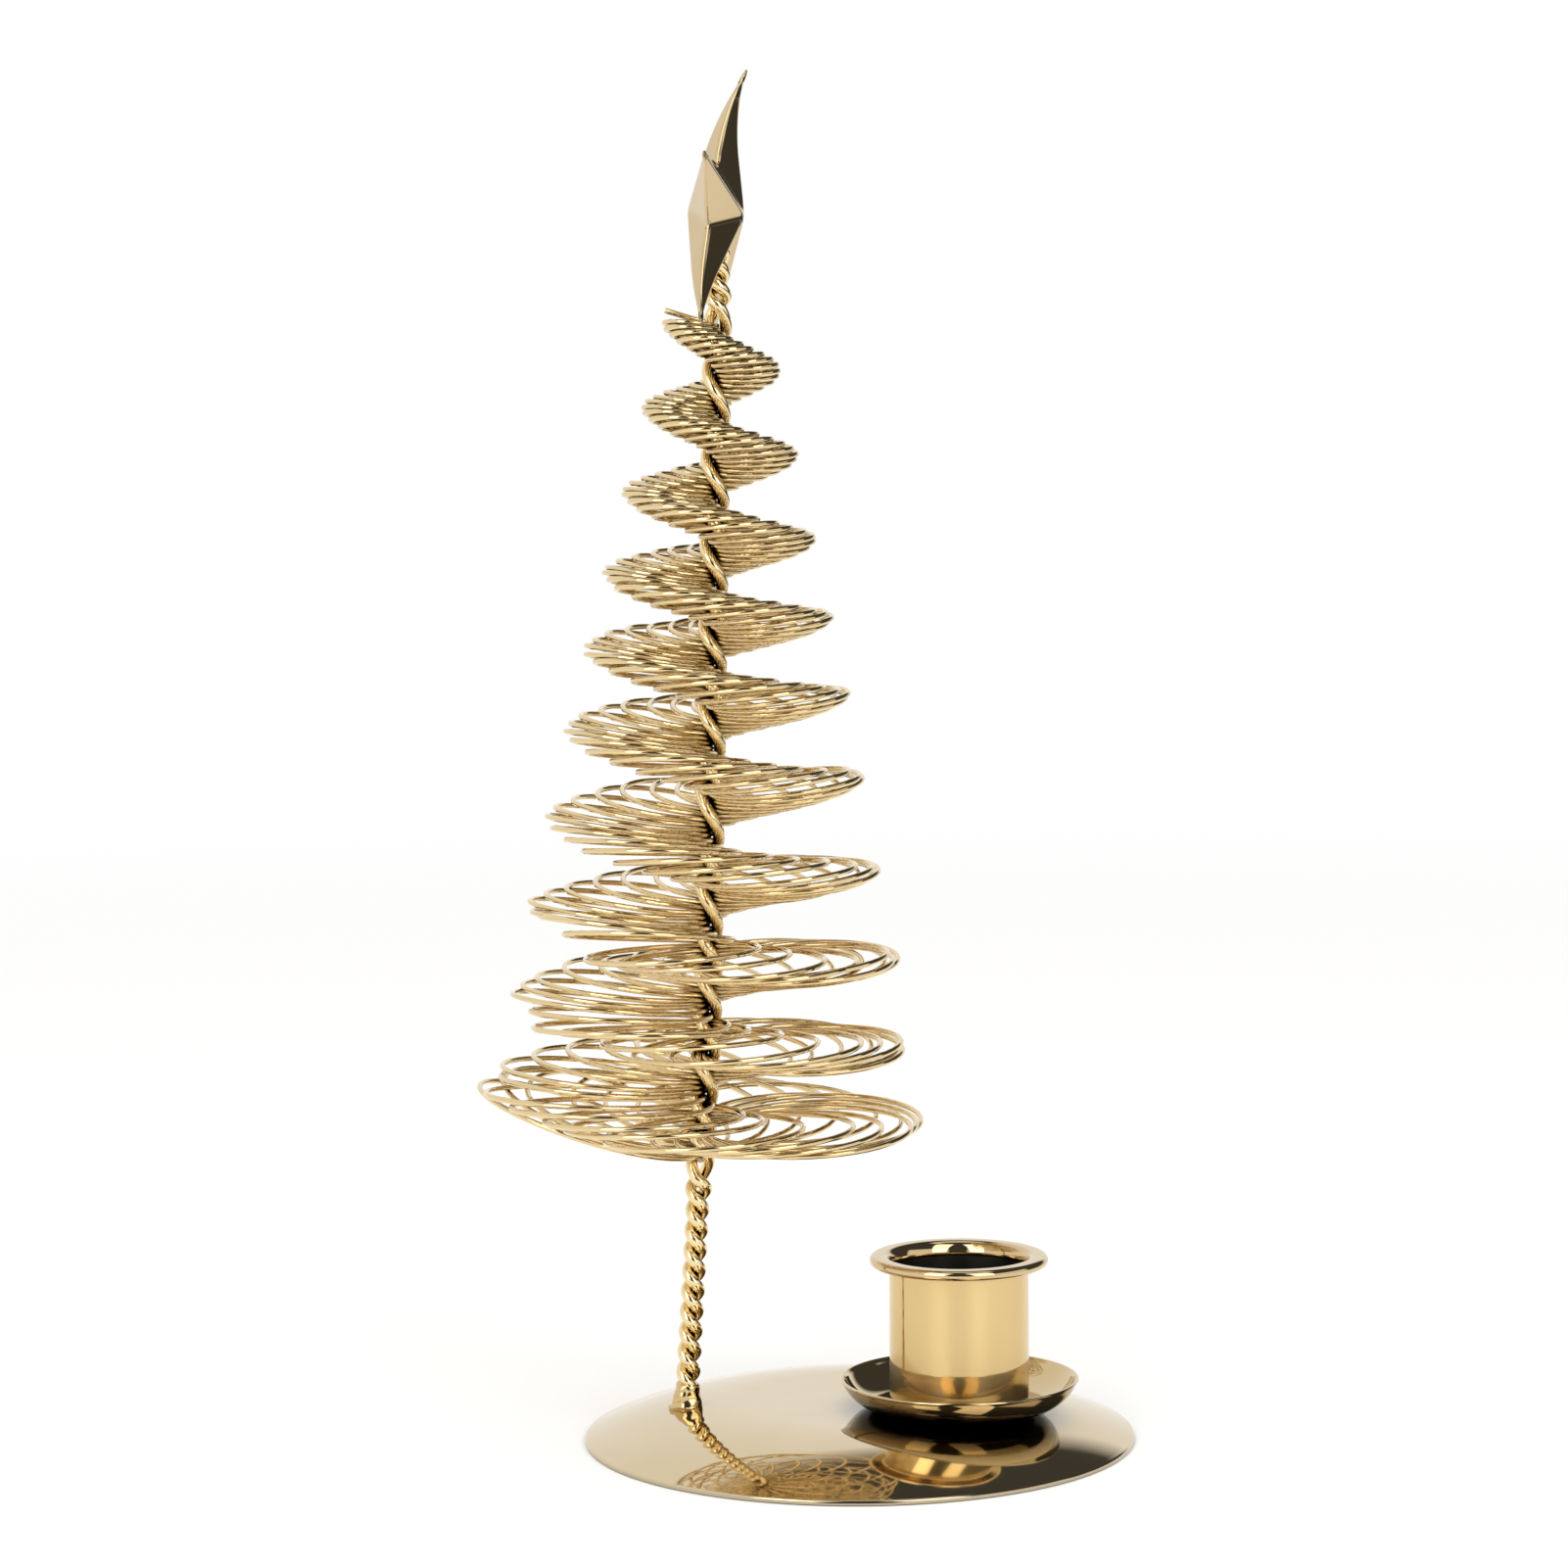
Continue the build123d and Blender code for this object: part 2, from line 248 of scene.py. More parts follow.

# drawn steel wire, plated after bending: a clear shine, painted brown shade on the sides that face other
# loops
platedWire = platedMetal("platedGoldWire", {
    "colour": "#E6D1A4", "worn": "#DDC28E", "patchSize": 6, "smooth": 0.03, "hazy": 0.07,
    "waveSize": 3, "waveDepth": 0.01,
    "recessShade": "#3A2C15", "recessReach": 6, "recessDark": 0.22, "recessLight": 0.66})

# the trunk's thicker wire: the same plating, painted dark shade only in the crease between the two wires
platedTrunk = platedMetal("platedGoldTrunk", {
    "colour": "#EFDDB2", "worn": "#E8CF9C", "patchSize": 6, "smooth": 0.03, "hazy": 0.08,
    "waveSize": 2, "waveDepth": 0.03,
    "recessShade": "#3E3A30", "recessReach": 1.4, "recessDark": 0.0, "recessLight": 0.28})

# solder under the plating: lumpy, with a broken bright shine, and painted shade in its hollows
platedSolder = platedMetal("platedGoldSolder", {
    "colour": "#D6BD8E", "worn": "#C8AB74", "patchSize": 3, "smooth": 0.05, "hazy": 0.13,
    "waveSize": 1.5, "waveDepth": 0.04,
    "recessShade": "#3B3526", "recessReach": 3, "recessDark": 0.1, "recessLight": 0.5})

# turned steel rivet and washer with the same plating, duller where they were struck, with painted shade in
# their recesses
platedRivet = platedMetal("platedGoldRivet", {
    "colour": "#CDB384", "worn": "#B3955F", "patchSize": 2, "smooth": 0.15, "hazy": 0.30,
    "waveSize": 1.2, "waveDepth": 0.02,
    "recessShade": "#3B3526", "recessReach": 3, "recessDark": 0.2, "recessLight": 0.6})

# inside the cup, a dark and dull colour: painted shade where little light gets in
cupInsideShade = platedMetal("paintedShadeCupInside", {
    "colour": "#4C4B47", "worn": "#35342F", "patchSize": 4, "smooth": 0.30, "hazy": 0.50,
    "waveSize": 3, "waveDepth": 0.03,
    "recessShade": "#232322", "recessReach": 10, "recessDark": 0.2, "recessLight": 0.6})
print("materials ready")


# Base plate: a pressed disc, flat in the middle, with a long round shoulder and a rolled-off edge

baseShape = {"flatRadius": 20, "sheet": 0.8, "land": 1.2, "edgeRound": 0.35, "edgeSteps": 8,
             "footBevel": 0.15, "shoulderSteps": 48, "turnSteps": 256}


def shoulderArc(radius, rise, sheet):
    # radius of the arc from the flat's edge down to the rim, in mm
    reach = radius - baseShape["flatRadius"]
    drop = rise - sheet
    return (reach ** 2 + drop ** 2) / (2 * drop)


baseLow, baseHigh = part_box("base_plate")
baseRadius = (baseHigh.x - baseLow.x) / 2 / mm
baseRise = baseHigh.z / mm
shoulderRadius = shoulderArc(baseRadius, baseRise, baseShape["sheet"])


def baseHeight(radius):
    # height of the upper face above the table, in mm
    pastFlat = max(radius - baseShape["flatRadius"], 0)
    return baseRise - shoulderRadius + math.sqrt(shoulderRadius ** 2 - pastFlat ** 2)


def makeBase():
    flat = baseShape["flatRadius"]
    sheet = baseShape["sheet"]
    rounding = baseShape["edgeRound"]
    steps = baseShape["shoulderSteps"]
    edgeSteps = baseShape["edgeSteps"]
    bevel = baseShape["footBevel"]
    outerEnd = baseRadius - rounding
    innerEnd = baseRadius - baseShape["land"]
    top = [(0, baseRise)]
    for i in range(steps + 1):
        radius = flat + (outerEnd - flat) * i / steps
        top.append((radius, baseHeight(radius)))
    slope = math.degrees(math.asin((outerEnd - flat) / shoulderRadius))
    lean = math.radians(slope)
    edgeCentre = (outerEnd - rounding * math.sin(lean), baseHeight(outerEnd) - rounding * math.cos(lean))
    reach = baseRadius - edgeCentre[0]
    edge = arcPoints(edgeCentre, rounding, 90 - slope, 0, edgeSteps)[1:]
    edge = [(x + (reach - rounding) * i / edgeSteps, z) for i, (x, z) in enumerate(edge, start=1)]
    foot = [(baseRadius, bevel), (baseRadius - bevel, 0), (innerEnd, 0)]
    under = []
    for i in range(steps + 1):
        radius = innerEnd + (flat - innerEnd) * i / steps
        under.append((radius, baseHeight(radius) - sheet))
    under.append((0, baseRise - sheet))
    outline = [(x * mm, z * mm) for x, z in top + edge + foot + under]
    return turnOutline("basePlate", outline, (0, 0, 0), baseShape["turnSteps"])


basePlate = makeBase()
finishPiece(basePlate, platedBase, "base_plate", smoothAngle=30)


# Drip dish: a spun saucer under the cup, with painted shade on the faces that look down

dishShape = {"sheet": 0.6, "floorRadius": 12.6, "rimDrop": 0.35, "rimSteps": 6, "looksDown": -0.05,
             "wallSteps": 24, "turnSteps": 192}
dishLow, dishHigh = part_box("drip_dish")
cupAxis = Vector(((dishLow.x + dishHigh.x) / 2, (dishLow.y + dishHigh.y) / 2, 0))


def makeDish():
    radius = (dishHigh.x - dishLow.x) / 2 / mm
    height = (dishHigh.z - dishLow.z) / mm
    sheet = dishShape["sheet"]
    floor = dishShape["floorRadius"]
    steps = dishShape["wallSteps"]

    def wall(endRadius, rise):
        # an arc that leaves the floor level and climbs to the rim
        reach = endRadius - floor
        arcRadius = (reach ** 2 + rise ** 2) / (2 * rise)
        sweep = math.degrees(math.atan2(reach, arcRadius - rise))
        return arcRadius, sweep

    outerRadius, outerSweep = wall(radius, height)
    innerRadius, innerSweep = wall(radius - sheet, height - sheet)
    outer = arcPoints((floor, outerRadius), outerRadius, -90, outerSweep - 90, steps)
    inner = arcPoints((floor, sheet + innerRadius), innerRadius, innerSweep - 90, -90, steps)
    rimCentre = ((outer[-1][0] + inner[0][0]) / 2, height - sheet * dishShape["rimDrop"])
    rim = arcPoints(rimCentre, sheet / 2, 0, 180, dishShape["rimSteps"])
    rim = [(x, min(z, height)) for x, z in rim]
    outline = [(0, 0)] + outer[:-1] + rim + inner[1:] + [(0, sheet)]
    outline = [(x * mm, z * mm) for x, z in outline]
    dish = turnOutline("dripDish", outline, cupAxis + Vector((0, 0, dishLow.z)), dishShape["turnSteps"])
    dish.data.materials.append(platedSheet)
    dish.data.materials.append(shadedUnderSheet)
    # faces that look down take the copy with the stronger painted shade
    for face in dish.data.polygons:
        if face.normal.z < dishShape["looksDown"]:
            face.material_index = 1
    return dish


dripDish = makeDish()
finishPiece(dripDish, platedSheet, "drip_dish", smoothAngle=50)


# Candle cup: a drawn tube with a polished wall, a mirror-bright rolled lip and an inside painted dark as
# shade

cupShape = {"bore": 11.2, "sheet": 0.5, "corner": 1.3, "lipThickness": 1.7, "mouthRound": 2.4,
            "mouthReach": 1.5, "neckRound": 0.7, "darkDepth": 2.5, "cornerSteps": 10, "neckSteps": 8,
            "rollSteps": 20, "mouthSteps": 14, "floorSteps": 8, "turnSteps": 192}


def makeCup():
    low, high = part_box("candle_cup")
    height = (high.z - low.z) / mm
    lipRadius = (high.x - low.x) / 2 / mm
    bore = cupShape["bore"]
    outer = bore + cupShape["sheet"]
    corner = cupShape["corner"]
    sheet = cupShape["sheet"]
    half = cupShape["lipThickness"] / 2
    neck = cupShape["neckRound"]
    mouth = cupShape["mouthRound"]
    lipCentre = (lipRadius - half, height - half)
    outerCorner = corner + sheet
    under = arcPoints((outer - outerCorner, outerCorner), outerCorner, -90, 0, cupShape["cornerSteps"])
    neckBend = arcPoints((outer + neck, height - 2 * half - neck), neck, 180, 90, cupShape["neckSteps"])
    roll = arcPoints(lipCentre, half, -90, 90, cupShape["rollSteps"])
    mouthBend = arcPoints((mouth, height - mouth), mouth, 90, 180, cupShape["mouthSteps"])
    mouthBend = [(bore + x * cupShape["mouthReach"] / mouth, z) for x, z in mouthBend]
    inside = arcPoints((bore - corner, sheet + corner), corner, 0, -90, cupShape["floorSteps"])
    outline = [(0, 0)] + under + neckBend + roll + mouthBend + inside + [(0, sheet)]
    outline = [(x * mm, z * mm) for x, z in outline]
    cup = turnOutline("candleCup", outline, cupAxis + Vector((0, 0, low.z)), cupShape["turnSteps"])
    cup.data.materials.append(platedSheet)
    cup.data.materials.append(turnedSheet)
    cup.data.materials.append(cupInsideShade)
    # inside faces below the dark line take the dark painted shade colour; the outer wall takes the turned
    # finish
    darkTop = high.z - cupShape["darkDepth"] * mm
    wallTop = high.z - (2 * half + neck) * mm
    for face in cup.data.polygons:
        away = face.center - cupAxis
        facesIn = face.normal.x * away.x + face.normal.y * away.y < 0 or face.normal.z > 0.5
        if facesIn and face.center.z < darkTop:
            face.material_index = 2
        elif not facesIn and face.center.z < wallTop:
            face.material_index = 1
    return cup


candleCup = makeCup()
finishPiece(candleCup, platedSheet, "candle_cup", smoothAngle=50)


# The tree's line: the trunk leans towards the cup, less so inside the tree

trunkShape = {"footX": -29.3, "y": -2.0, "footLean": 3.8, "treeLean": 1.4,
              "changeStart": 62.0, "changeLength": 15.0,
              "wire": 2.05, "closed": 1.05, "spread": 1.45, "spreadLength": 5.0,
              "stemPitch": 6.9, "openTurns": 0.2, "steps": 28, "roundness": 6}
# heights off an even climb, in turns from the top and mm
treeShape = {"top": 188.3, "bottom": 47.3, "pitch": 14.1,
             "ride": ((-1.0, 0.0), (1.0, -1.2), (2.6, -1.5), (4.8, -0.2), (7.4, -2.1), (9.2, -2.2),
                      (10.0, 0.6), (11.5, 0.0))}
trunkFoot = baseHeight(math.hypot(trunkShape["footX"], trunkShape["y"]))
treeTurns = (treeShape["top"] - treeShape["bottom"]) / treeShape["pitch"]


def easeIn(value, start, end):
    share = min(max((value - start) / (end - start), 0), 1)
    return share * share * (3 - 2 * share)


def softTable(rows, place):
    # value at a place between rows of place and value, with soft changes
    value = rows[0][1]
    for (fromPlace, fromValue), (toPlace, toValue) in zip(rows, rows[1:]):
        value += (toValue - fromValue) * easeIn(place, fromPlace, toPlace)
    return value


def trunkX(z):
    into = min(max(z - trunkShape["changeStart"], 0), trunkShape["changeLength"])
    past = max(z - trunkShape["changeStart"] - trunkShape["changeLength"], 0)
    eased = into ** 2 / (2 * trunkShape["changeLength"]) + past
    footSlope = math.tan(math.radians(trunkShape["footLean"]))
    treeSlope = math.tan(math.radians(trunkShape["treeLean"]))
    return trunkShape["footX"] + footSlope * (z - trunkFoot) + (treeSlope - footSlope) * eased


def inOpenTwist(turns):
    # the open twist runs on a little past the first and last loop
    return min(max(turns, -trunkShape["openTurns"]), treeTurns + trunkShape["openTurns"])


def treeHeight(turns):
    # height on the trunk after this many turns from the top; outside the tree the twist is tighter
    inside = inOpenTwist(turns)
    even = treeShape["top"] - treeShape["pitch"] * inside - trunkShape["stemPitch"] * (turns - inside)
    return even + softTable(treeShape["ride"], inside)


def coreLine(outSign):
    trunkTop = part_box("core_wire_1")[1].z / mm
    openTurns = trunkShape["openTurns"]
    firstTurn = (treeHeight(-openTurns) - trunkTop) / trunkShape["stemPitch"] - openTurns
    lastOpen = treeTurns + openTurns
    lastTurn = (treeHeight(lastOpen) - trunkFoot) / trunkShape["stemPitch"] + lastOpen
    count = round((lastTurn - firstTurn) * trunkShape["steps"])
    points = []
    for index in range(count + 1):
        turns = firstTurn + (lastTurn - firstTurn) * index / count
        z = treeHeight(turns)
        outside = abs(turns - inOpenTwist(turns)) * trunkShape["stemPitch"]
        parted = 1 - easeIn(outside, 0, trunkShape["spreadLength"])
        out = outSign * (trunkShape["closed"] + (trunkShape["spread"] - trunkShape["closed"]) * parted)
        angle = math.pi + 2 * math.pi * turns
        x = trunkX(z) + out * math.cos(angle)
        y = trunkShape["y"] + out * math.sin(angle)
        points.append((x * mm, y * mm, z * mm))
    return points


for number, outSign in enumerate((1, -1), start=1):
    core = bendWire(f"coreWire{number}", coreLine(outSign), trunkShape["wire"] * mm, trunkShape["roundness"])
    finishPiece(core, platedTrunk, f"core_wire_{number}", smoothAngle=60)


# Spiral: one long wire, loop after loop fanned round the trunk, regular above and looser below

# slopes are rise over run: outwards and to the right after so many turns, sideways, and to the back
loopShape = {"wire": 0.95, "roundness": 2, "perTurn": 18.4, "points": 40,
             "freeEnd": (-8.6, -1.2, 2.6), "freeEndSteps": 8,
             "reachTop": 9.2, "reachGrowth": 2.90, "reachBulge": 0.9,
             "outwards": ((1.0, 0.077), (4.5, 0.122), (5.5, 0.120), (6.9, 0.085), (7.13, 0.150),
                          (7.21, 0.035), (7.6, 0.070), (8.2, 0.080), (8.36, 0.055), (9.0, 0.060),
                          (9.5, 0.052), (9.62, 0.055), (10.0, 0.300)),
             "right": ((4.0, -0.042), (7.0, -0.022)), "sideways": 0.057, "back": 0.033,
             "looseFrom": 5.5, "looseTo": 8.0, "uneven": (0.006, 0.020), "stray": (0.5, 2.6),
             "strayTilt": (0.004, 0.012), "seed": 11}


def spiralLine():
    draw = random.Random(loopShape["seed"])
    loops = round(treeTurns * loopShape["perTurn"])
    habits = [(draw.gauss(0, 1), draw.gauss(0, 1), draw.gauss(0, 1)) for _ in range(loops + 2)]
    # the free end sticks out straight from the trunk, above the first loop
    start = Vector((trunkX(treeHeight(0)), trunkShape["y"], treeHeight(0)))
    end = start + Vector(loopShape["freeEnd"])
    endSteps = loopShape["freeEndSteps"]
    points = [tuple(end.lerp(start, step / endSteps) * mm) for step in range(endSteps)]
    for index in range(loops * loopShape["points"] + 1):
        loop = index / loopShape["points"]
        turns = loop / loopShape["perTurn"]
        loose = easeIn(turns, loopShape["looseFrom"], loopShape["looseTo"])
        spread = [tight + (slack - tight) * loose for tight, slack in
                  (loopShape["uneven"], loopShape["stray"], loopShape["strayTilt"])]
        habit = habits[math.floor(loop) + 1]
        uneven, stray, strayTilt = [share * width for share, width in zip(habit, spread)]
        z = treeHeight(turns)
        angle = math.pi + 2 * math.pi * turns + math.radians(stray)
        phase = 2 * math.pi * loop
        reach = loopShape["reachTop"] + loopShape["reachGrowth"] * turns
        reach += loopShape["reachBulge"] * math.sin(math.pi * turns / treeTurns)
        ring = (reach * (1 + uneven) - loopShape["wire"] / 2) / 2
        out = ring * (1 - math.cos(phase))
        side = ring * math.sin(phase)
        alongX = out * math.cos(angle) - side * math.sin(angle)
        alongY = out * math.sin(angle) + side * math.cos(angle)
        rise = out * (softTable(loopShape["outwards"], turns) + strayTilt) + side * loopShape["sideways"]
        rise += alongX * softTable(loopShape["right"], turns) + alongY * loopShape["back"]
        points.append(((trunkX(z) + alongX) * mm, (trunkShape["y"] + alongY) * mm, (z + rise) * mm))
    return points


spiralWire = bendWire("spiralWire", spiralLine(), loopShape["wire"] * mm, loopShape["roundness"])
finishPiece(spiralWire, platedWire, "spiral_wire", smoothAngle=60)


# Star: two pressed shells with five ridges each, set edge to edge

starShape = {"tip": 24.0, "notch": 9.2, "peak": 4.9, "sheet": 0.6, "height": 206.2,
             "sideShift": -0.45, "roll": 5.8, "yaw": -5.0, "spin": -3.0, "cuts": 24, "ridgeSoftness": 3,
             "thinFrom": 13.0, "thinMost": 0.95, "beadLength": 2.0, "beadRadius": 0.45, "beadSegments": 20,
             "beadRings": 14, "seam": 0.4, "seamSteps": 12, "seamRoundness": 2}
# points bent towards the cup: the point's direction to the back and up, where the bend starts,
# and how far it goes
starBends = (((0.0, 1.0), 9.0, 2.8), ((-0.588, -0.809), 12.0, 1.1))


def makeStarShell(name, side):
    clearSelection()
    bpy.ops.mesh.primitive_circle_add(vertices=10, radius=starShape["tip"] * mm, fill_type="TRIFAN")
    shell = bpy.context.object
    shell.name = name

    def isNotch(place):
        step = (math.degrees(math.atan2(place.y, place.x)) - 90) / 36
        return place.length > mm and round(step) % 2 == 1

    selectVertices(shell, isNotch)
    pull = starShape["notch"] / starShape["tip"]
    bpy.ops.transform.resize(value=(pull, pull, 1), center_override=(0, 0, 0))
    selectVertices(shell, lambda place: place.length < mm)
    bpy.ops.transform.translate(value=(0, 0, starShape["peak"] * mm))
    bpy.ops.mesh.select_all(action="SELECT")
    bpy.ops.mesh.subdivide(number_cuts=starShape["cuts"])
    # soft ridges, with the outline left sharp
    bpy.ops.mesh.select_all(action="SELECT")
    bpy.ops.mesh.region_to_loop()
    bpy.ops.mesh.select_all(action="INVERT")
    bpy.ops.mesh.vertices_smooth(factor=0.5, repeat=starShape["ridgeSoftness"])
    closeAndTurnOut()
    # the sheet thins out towards the points
    wall = shell.vertex_groups.new(name="wall")
    for vertex in shell.data.vertices:
        thin = (vertex.co.length / mm - starShape["thinFrom"]) / (starShape["tip"] - starShape["thinFrom"])
        wall.add([vertex.index], 1 - min(max(thin, 0), starShape["thinMost"]), "REPLACE")
    applyModifier(shell, "SOLIDIFY", thickness=starShape["sheet"] * mm, offset=-1, vertex_group="wall")
    shell.vertex_groups.clear()
    # each point ends in a small bead of solder
    bpy.ops.object.mode_set(mode="EDIT")
    for index in range(5):
        angle = math.radians(90 + 72 * index)
        reach = (starShape["tip"] - starShape["beadLength"]) * mm
        bpy.ops.mesh.primitive_uv_sphere_add(
            segments=starShape["beadSegments"], ring_count=starShape["beadRings"], radius=mm,
            rotation=(0, 0, angle),
            location=(reach * math.cos(angle), reach * math.sin(angle), 0),
            scale=(starShape["beadLength"], starShape["beadRadius"], starShape["beadRadius"]))
    bpy.ops.object.mode_set(mode="OBJECT")
    if side < 0:
        # a fine line of solder runs round the seam
        corners = []
        for index in range(11):
            angle = math.radians(90 + 36 * index)
            atTip = index % 2 == 0
            radius = starShape["tip"] - 2 * starShape["beadRadius"] if atTip else starShape["notch"]
            corners.append(Vector((radius * math.cos(angle), radius * math.sin(angle), 0)) * mm)
        line = []
        steps = starShape["seamSteps"]
        for here, there in zip(corners, corners[1:]):
            line += [here.lerp(there, step / steps) for step in range(steps)]
        bendWire("starSeam", line + corners[-1:], starShape["seam"] * mm, starShape["seamRoundness"])
        shell.select_set(True)
        bpy.context.view_layer.objects.active = shell
        bpy.ops.object.join()
    for way, bendFrom, bend in starBends:
        for vertex in shell.data.vertices:
            along = side * way[0] * vertex.co.x + way[1] * vertex.co.y
            past = max(along / mm - bendFrom, 0) / (starShape["tip"] - bendFrom)
            vertex.co.z += side * bend * mm * past ** 2
    upright = Matrix(((0, 0, side, 0), (side, 0, 0, 0), (0, 1, 0, 0), (0, 0, 0, 1)))
    z = starShape["height"]
    centre = Vector(((trunkX(z) + starShape["sideShift"]) * mm, trunkShape["y"] * mm, z * mm))
    turn = Matrix.Rotation(math.radians(starShape["yaw"]), 4, "Z")
    turn = turn @ Matrix.Rotation(math.radians(starShape["roll"]), 4, "Y")
    turn = turn @ Matrix.Rotation(math.radians(starShape["spin"]), 4, "X")
    shell.matrix_world = Matrix.Translation(centre) @ turn @ upright
    bpy.ops.object.transform_apply(location=True, rotation=True, scale=True)
    return shell


starLeftShell = makeStarShell("starLeftShell", -1)
finishPiece(starLeftShell, platedSheet, "star_left_shell", smoothAngle=25)
starRightShell = makeStarShell("starRightShell", 1)
finishPiece(starRightShell, platedSheet, "star_right_shell", smoothAngle=25)


# Foot solder: a lumpy collar that holds the trunk to the base

solderShape = {"bottom": 2.5, "top": 2.1, "height": 3.6, "sunk": 0.8, "flare": 0.6, "flareSteps": 8,
               "wallSteps": 24, "capRound": 0.6, "capSteps": 5, "turnSteps": 96, "lumpSize": 2.4,
               "lumpDepth": 0.5}


def makeFootSolder():
    foot = Vector((trunkShape["footX"] * mm, trunkShape["y"] * mm, trunkFoot * mm))
    bottom = solderShape["bottom"]
    top = solderShape["top"]
    height = solderShape["height"]
    flare = solderShape["flare"]
    sunk = solderShape["sunk"]
    steps = solderShape["wallSteps"]
    cap = solderShape["capRound"]
    outline = [(0, -sunk), (bottom + flare * 0.6, -sunk)]
    outline += arcPoints((bottom + flare, flare), flare, -90, -180, solderShape["flareSteps"])
    for i in range(1, steps + 1):
        outline.append((bottom + (top - bottom) * i / steps, flare + (height - flare) * i / steps))
    outline += arcPoints((top - cap, height), cap, 0, 90, solderShape["capSteps"])[1:]
    outline.append((0, height + cap))
    outline = [(x * mm, z * mm) for x, z in outline]
    collar = turnOutline("footSolder", outline, (0, 0, 0), solderShape["turnSteps"])
    lumps = bpy.data.textures.new("solderLumps", "CLOUDS")
    lumps.noise_scale = solderShape["lumpSize"] * mm
    lumps.noise_depth = 1
    applyModifier(collar, "DISPLACE", texture=lumps, texture_coords="LOCAL",
                  strength=solderShape["lumpDepth"] * mm, mid_level=0.5)
    lean = Matrix.Rotation(math.radians(trunkShape["footLean"]), 4, "Y")
    collar.matrix_world = Matrix.Translation(foot) @ lean
    bpy.ops.object.transform_apply(location=True, rotation=True, scale=True)
    return collar


footSolder = makeFootSolder()
finishPiece(footSolder, platedSolder, "foot_solder", smoothAngle=60)


# Pieces shown as they come from the frame, with their finish

keptFinishes = {"cup_rivet": platedRivet, "rivet_washer": platedRivet, "star_solder": platedSolder}
for nodeName, material in keptFinishes.items():
    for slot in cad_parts[nodeName].material_slots:
        slot.material = material
print("kept nodes finished")


# Studio: a pale floor, two soft boxes, and a light room that is partly dark in reflections

studio = {"floorRadius": 6.0, "floorColour": "#F4F3F1", "fadeFrom": 0.25, "fadeTo": 1.2,
          "wallLight": 1.0, "darkLight": 0.06, "ceilingFrom": 0.54, "ceilingTo": 0.68, "ceilingSlant": 0.72,
          "gapHalf": 0.24, "gapSoft": 0.08, "edgeFrom": 0.5, "edgeTo": 0.8,
          "panelFrom": 0.91, "panelTo": 0.94, "openTop": 0.50, "openBack": 0.16, "openSoft": 0.08,
          "gapBack": 0.05, "gapFront": -0.15, "boxWatts": 5.2, "boxSize": (0.60, 1.30),
          "boxPlaces": ((-0.58, -0.90, 0.78), (0.58, -0.90, 0.78)), "boxAim": (0, 0, 0.08)}


def makeFloor():
    clearSelection()
    bpy.ops.mesh.primitive_circle_add(vertices=128, radius=studio["floorRadius"], fill_type="NGON",
                                      location=(0, 0, -0.02 * mm))
    floor = bpy.context.object
    floor.name = "floor"
    # matt white board; far off it runs into the white behind
    material, tree = newMaterial("mattWhiteBoard")
    coords = addNode(tree, "ShaderNodeTexCoord").outputs["Object"]
    away = addNode(tree, "ShaderNodeVectorMath", {"operation": "LENGTH"}, {0: coords})
    fade = addNode(tree, "ShaderNodeMapRange",
                   {"From Min": studio["fadeFrom"], "From Max": studio["fadeTo"]},
                   {"Value": away.outputs["Value"]})
    path = addNode(tree, "ShaderNodeLightPath")
    seen = addNode(tree, "ShaderNodeMath", {"operation": "MAXIMUM"},
                   {0: path.outputs["Is Camera Ray"], 1: path.outputs["Is Glossy Ray"]})
    share = addNode(tree, "ShaderNodeMath", {"operation": "MULTIPLY"},
                    {0: seen.outputs[0], 1: fade.outputs["Result"]})
    board = addNode(tree, "ShaderNodeBsdfPrincipled",
                    {"Base Color": colour(studio["floorColour"]), "Roughness": 0.9})
    white = addNode(tree, "ShaderNodeEmission", {"Color": colour("#FFFFFF"), "Strength": 1.0})
    mixed = addNode(tree, "ShaderNodeMixShader", (),
                    {0: share.outputs[0], 1: board.outputs["BSDF"], 2: white.outputs["Emission"]})
    # in reflections the board ends far to the right
    sides = addNode(tree, "ShaderNodeSeparateXYZ", (), {0: coords})
    pastEdge = addNode(tree, "ShaderNodeMapRange",
                       {"From Min": studio["edgeFrom"], "From Max": studio["edgeTo"]},
                       {"Value": sides.outputs["X"]})
    hidden = addNode(tree, "ShaderNodeMath", {"operation": "MULTIPLY"},
                     {0: path.outputs["Is Glossy Ray"], 1: pastEdge.outputs["Result"]})
    shade = addNode(tree, "ShaderNodeEmission",
                    {"Color": colour("#FFFFFF"), "Strength": studio["darkLight"]})
    mixed = addNode(tree, "ShaderNodeMixShader", (),
                    {0: hidden.outputs[0], 1: mixed.outputs["Shader"], 2: shade.outputs["Emission"]})
    addNode(tree, "ShaderNodeOutputMaterial", (), {"Surface": mixed.outputs["Shader"]})
    floor.data.materials.append(material)


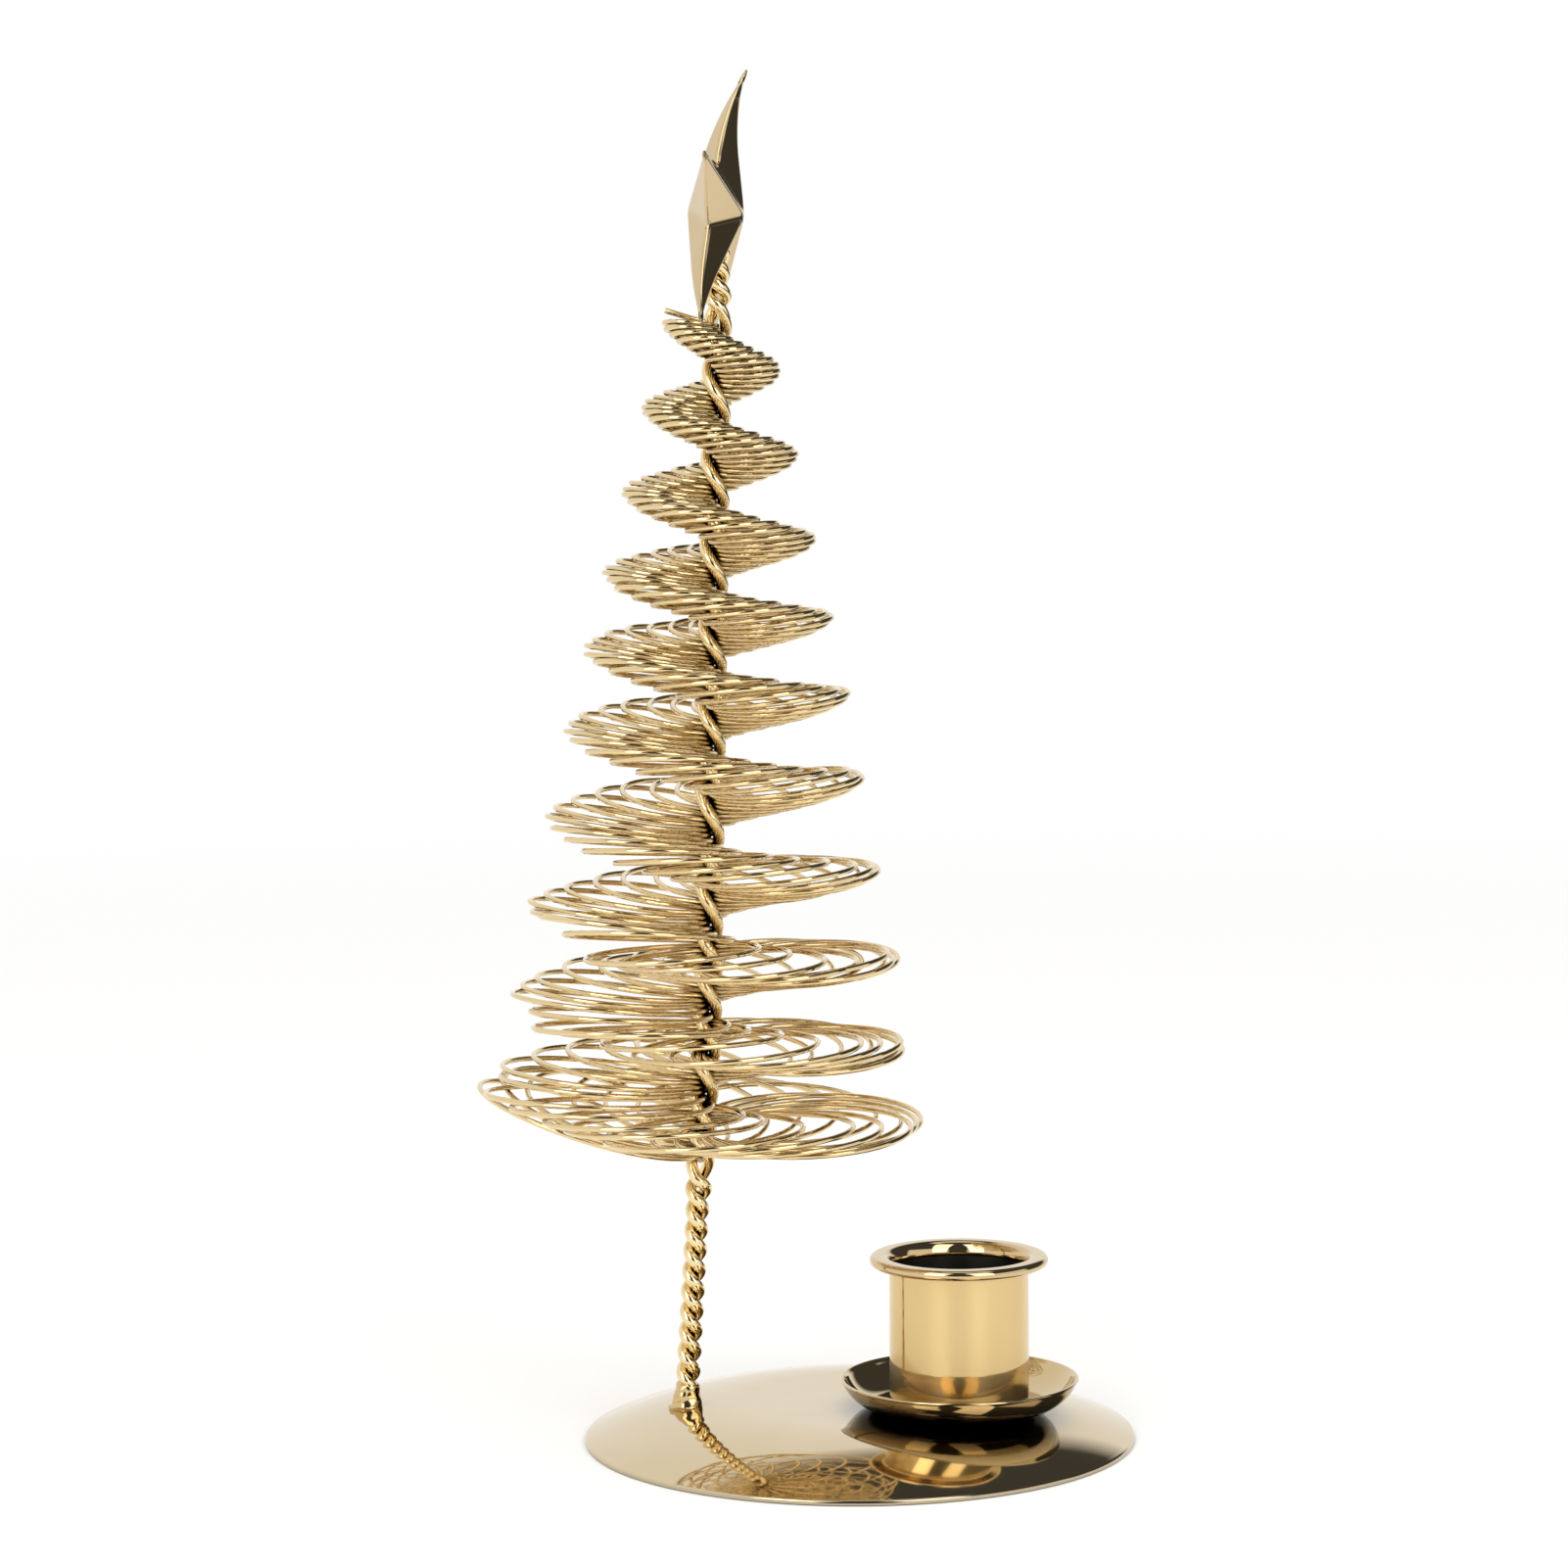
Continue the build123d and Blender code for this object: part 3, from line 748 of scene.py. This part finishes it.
def makeRoom():
    # white to the eye; in reflections the viewer is dark, and so is the ceiling, which comes lower
    # on the right, with a light panel overhead and its low part open at the front right
    world = bpy.data.worlds.new("lightRoom")
    bpy.context.scene.world = world
    world.use_nodes = True
    tree = world.node_tree
    tree.nodes.clear()
    way = addNode(tree, "ShaderNodeTexCoord").outputs["Generated"]
    parts = addNode(tree, "ShaderNodeSeparateXYZ", (), {0: way})
    height = addNode(tree, "ShaderNodeMath", {"operation": "MULTIPLY_ADD", 1: studio["ceilingSlant"]},
                     {0: parts.outputs["X"], 2: parts.outputs["Z"]})
    ceiling = addNode(tree, "ShaderNodeMapRange",
                      {"From Min": studio["ceilingFrom"], "From Max": studio["ceilingTo"]},
                      {"Value": height.outputs[0]})
    panel = addNode(tree, "ShaderNodeMapRange",
                    {"From Min": studio["panelFrom"], "From Max": studio["panelTo"]},
                    {"Value": parts.outputs["Z"]})
    low = addNode(tree, "ShaderNodeMapRange",
                  {"From Min": studio["openTop"], "From Max": studio["openTop"] - studio["openSoft"]},
                  {"Value": parts.outputs["Z"]})
    front = addNode(tree, "ShaderNodeMapRange",
                    {"From Min": studio["openBack"], "From Max": studio["openBack"] - studio["openSoft"]},
                    {"Value": parts.outputs["Y"]})
    opening = addNode(tree, "ShaderNodeMath", {"operation": "MULTIPLY"},
                      {0: low.outputs["Result"], 1: front.outputs["Result"]})
    bright = addNode(tree, "ShaderNodeMath", {"operation": "MAXIMUM"},
                     {0: panel.outputs["Result"], 1: opening.outputs[0]})
    covered = addNode(tree, "ShaderNodeMath", {"operation": "SUBTRACT", "use_clamp": True},
                      {0: ceiling.outputs["Result"], 1: bright.outputs[0]})
    sideways = addNode(tree, "ShaderNodeMath", {"operation": "ABSOLUTE"}, {0: parts.outputs["X"]})
    narrow = addNode(tree, "ShaderNodeMapRange",
                     {"From Min": studio["gapHalf"] + studio["gapSoft"], "From Max": studio["gapHalf"]},
                     {"Value": sideways.outputs[0]})
    towards = addNode(tree, "ShaderNodeMapRange",
                      {"From Min": studio["gapBack"], "From Max": studio["gapFront"]},
                      {"Value": parts.outputs["Y"]})
    gap = addNode(tree, "ShaderNodeMath", {"operation": "MULTIPLY"},
                  {0: narrow.outputs["Result"], 1: towards.outputs["Result"]})
    dark = addNode(tree, "ShaderNodeMath", {"operation": "MAXIMUM"},
                   {0: covered.outputs[0], 1: gap.outputs[0]})
    light = addNode(tree, "ShaderNodeMapRange",
                    {"To Min": studio["wallLight"], "To Max": studio["darkLight"]},
                    {"Value": dark.outputs[0]})
    room = addNode(tree, "ShaderNodeBackground", {"Color": colour("#FFFFFF")},
                   {"Strength": light.outputs["Result"]})
    white = addNode(tree, "ShaderNodeBackground", {"Color": colour("#FFFFFF"), "Strength": 1.0})
    path = addNode(tree, "ShaderNodeLightPath")
    mixed = addNode(tree, "ShaderNodeMixShader", (),
                    {0: path.outputs["Is Glossy Ray"], 1: white.outputs[0], 2: room.outputs[0]})
    addNode(tree, "ShaderNodeOutputWorld", (), {"Surface": mixed.outputs["Shader"]})


def makeSoftBoxes():
    aim = Vector(studio["boxAim"])
    for number, place in enumerate(studio["boxPlaces"], start=1):
        clearSelection()
        bpy.ops.object.light_add(type="AREA", location=place)
        box = bpy.context.object
        box.name = f"softBox{number}"
        box.data.shape = "RECTANGLE"
        box.data.size, box.data.size_y = studio["boxSize"]
        box.data.energy = studio["boxWatts"]
        box.rotation_euler = (aim - Vector(place)).to_track_quat("-Z", "Y").to_euler()


def makeCamera():
    view = {"place": (0, -680, 165.01), "yaw": -0.9976, "pitch": -4.5189, "roll": -0.5368, "lens": 93.38}
    yaw = math.radians(view["yaw"])
    pitch = math.radians(view["pitch"])
    roll = math.radians(view["roll"])
    ahead = Vector((math.sin(yaw) * math.cos(pitch), math.cos(yaw) * math.cos(pitch), math.sin(pitch)))
    right = ahead.cross(Vector((0, 0, 1))).normalized()
    up = right.cross(ahead)
    across = math.cos(roll) * right + math.sin(roll) * up
    upwards = math.cos(roll) * up - math.sin(roll) * right
    turn = Matrix((across, upwards, -ahead)).transposed().to_4x4()
    clearSelection()
    bpy.ops.object.camera_add()
    camera = bpy.context.object
    camera.matrix_world = Matrix.Translation(Vector(view["place"]) * mm) @ turn
    camera.data.lens = view["lens"]
    camera.data.sensor_width = 36
    camera.data.clip_start = 0.01
    bpy.context.scene.camera = camera


makeFloor()
makeRoom()
makeSoftBoxes()
makeCamera()
bpy.context.scene.view_settings.view_transform = "Standard"
print("studio ready")
